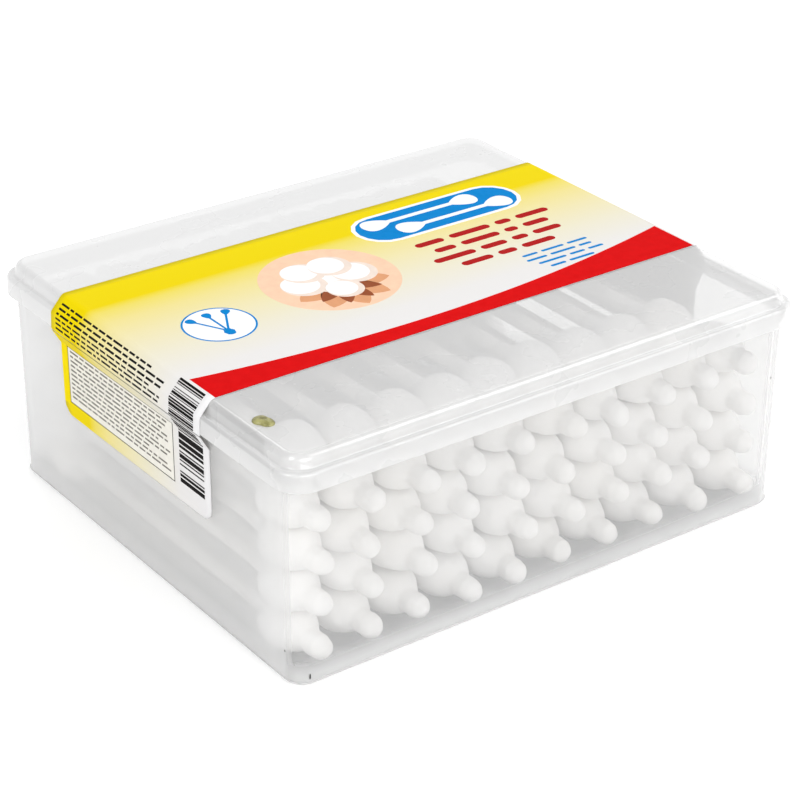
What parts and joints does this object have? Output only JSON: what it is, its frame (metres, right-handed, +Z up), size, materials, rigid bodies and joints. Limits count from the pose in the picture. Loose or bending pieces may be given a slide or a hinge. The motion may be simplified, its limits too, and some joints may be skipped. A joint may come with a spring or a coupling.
{
  "type": "cotton swab tub",
  "caption": "Shallow rectangular frosted plastic tub with a lift-off rimmed lid, a paper label wrapped over the top and ends, and layers of cotton swabs with rounded safety heads.",
  "frame": {"origin": "centre of the tub's underside", "axes": "+X along the long front face, +Y from the front to the back, +Z up; the label's bar strip is at the -X end"},
  "size_m": [0.0958, 0.083, 0.0382],
  "materials": {
    "tub_plastic": "frosted translucent polypropylene, smooth and slightly milky",
    "lid_plastic": "translucent polypropylene with a soft gloss and bright edges",
    "label_paper": "coated paper with printed fields of yellow, cream, red and blue",
    "cotton": "white wound cotton with soft fibres, on a smooth white stick",
    "glue": "hardened yellow-green glue, cloudy and glossy"
  },
  "bodies": {
    "tub": {"tub": "tub_plastic", "label_end_left": "label_paper", "label_end_right": "label_paper", "swab_01": "cotton", "swab_02": "cotton", "swab_03": "cotton", "swab_04": "cotton", "swab_05": "cotton", "swab_06": "cotton", "swab_07": "cotton", "swab_08": "cotton", "swab_09": "cotton", "swab_10": "cotton", "swab_11": "cotton", "swab_12": "cotton", "swab_13": "cotton", "swab_14": "cotton", "swab_15": "cotton", "swab_16": "cotton", "swab_17": "cotton", "swab_18": "cotton", "swab_19": "cotton", "swab_20": "cotton", "swab_21": "cotton", "swab_22": "cotton", "swab_23": "cotton", "swab_24": "cotton", "swab_25": "cotton", "swab_26": "cotton", "swab_27": "cotton", "swab_28": "cotton", "swab_29": "cotton", "swab_30": "cotton", "swab_31": "cotton", "swab_32": "cotton", "swab_33": "cotton", "swab_34": "cotton", "swab_35": "cotton", "swab_36": "cotton", "swab_37": "cotton", "swab_38": "cotton", "swab_39": "cotton", "swab_40": "cotton", "swab_41": "cotton", "swab_42": "cotton", "swab_43": "cotton", "swab_44": "cotton", "swab_45": "cotton", "swab_46": "cotton", "swab_47": "cotton", "swab_48": "cotton", "swab_49": "cotton"},
    "lid": {"lid": "lid_plastic", "label_top": "label_paper", "glue_spot": "glue"}
  },
  "joints": [
    {"name": "lid_lift", "type": "slide", "parent": "tub", "child": "lid", "axis": [0, 0, 1], "range_m": [0, 0.05]}
  ]
}
